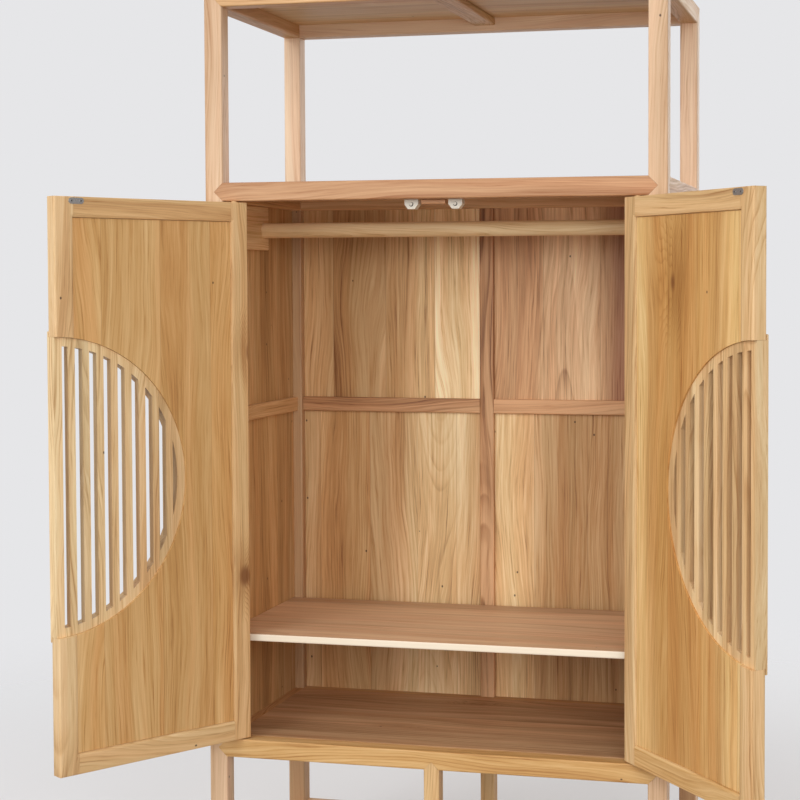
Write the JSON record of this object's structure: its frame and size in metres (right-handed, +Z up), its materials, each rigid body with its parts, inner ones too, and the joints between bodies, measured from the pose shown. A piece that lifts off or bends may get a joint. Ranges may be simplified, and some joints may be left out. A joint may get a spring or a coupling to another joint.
{
  "type": "wardrobe",
  "caption": "Free-standing wooden wardrobe on legs: an open bay above pivoting doors that carry the halves of a round slatted grille, with a hanging rod and a shelf inside.",
  "frame": {"origin": "On the floor, at the middle of the footprint of the whole part with its doors standing open as at rest; the middle of the carcase is 19 mm to the left of it and 182 mm behind it", "axes": "+X to the right seen from the front, +Y towards the back, +Z up"},
  "size_m": [1.418, 0.8846, 2],
  "materials": {
    "frame_wood": "satin, waxed",
    "pale_wood": "satin, waxed",
    "board_wood": "matt, waxed",
    "door_wood": "satin, waxed",
    "rod_wood": "satin",
    "catch_plastic": "smooth",
    "strike_steel": "plain sheet steel"
  },
  "bodies": {
    "carcase": {"post_front_left": "frame_wood", "post_front_right": "frame_wood", "post_back_left": "frame_wood", "post_back_right": "frame_wood", "bottom_rail_front": "frame_wood", "foot_rail_front": "frame_wood", "bottom_rail_back": "frame_wood", "foot_rail_back": "frame_wood", "bottom_rail_left": "frame_wood", "foot_rail_left": "frame_wood", "bottom_rail_right": "frame_wood", "foot_rail_right": "frame_wood", "side_rail_left": "frame_wood", "side_rail_right": "frame_wood", "strut_front": "frame_wood", "strut_back": "frame_wood", "back_muntin": "frame_wood", "back_rail_left": "frame_wood", "back_rail_right": "frame_wood", "door_stop_block": "frame_wood", "top_rail_front": "pale_wood", "top_rail_back": "pale_wood", "top_rail_left": "pale_wood", "top_rail_right": "pale_wood", "mid_rail_front": "pale_wood", "mid_rail_back": "pale_wood", "mid_rail_left": "pale_wood", "mid_rail_right": "pale_wood", "shelf": "pale_wood", "side_panel_left_lower": "board_wood", "side_panel_left_upper": "board_wood", "side_panel_right_lower": "board_wood", "side_panel_right_upper": "board_wood", "back_panel_left_lower": "board_wood", "back_panel_left_upper": "board_wood", "back_panel_right_lower": "board_wood", "back_panel_right_upper": "board_wood", "top_panel": "board_wood", "mid_panel": "board_wood", "floor_panel": "board_wood", "top_batten": "board_wood", "rod_cleat_left": "board_wood", "rod_cleat_right": "board_wood", "hanging_rod": "rod_wood", "catch_left": "catch_plastic", "catch_right": "catch_plastic"},
    "left_door": {"left_door_hinge_stile": "door_wood", "left_door_meeting_stile_upper": "door_wood", "left_door_meeting_stile_lower": "door_wood", "left_door_top_rail": "door_wood", "left_door_bottom_rail": "door_wood", "left_door_panel": "door_wood", "left_door_moon_grille": "door_wood"},
    "right_door": {"right_door_hinge_stile": "door_wood", "right_door_meeting_stile_upper": "door_wood", "right_door_meeting_stile_lower": "door_wood", "right_door_top_rail": "door_wood", "right_door_bottom_rail": "door_wood", "right_door_panel": "door_wood", "right_door_moon_grille": "door_wood"}
  },
  "joints": [
    {"name": "left_door_pivot", "type": "hinge", "parent": "carcase", "child": "left_door", "pos_m": [-0.45687, -0.06821, 0.9635], "axis": [0, 0, -1], "range_deg": [-123.5, 8.5]},
    {"name": "right_door_pivot", "type": "hinge", "parent": "carcase", "child": "right_door", "pos_m": [0.41813, -0.06821, 0.9635], "axis": [0, 0, 1], "range_deg": [-130, 2]}
  ]
}
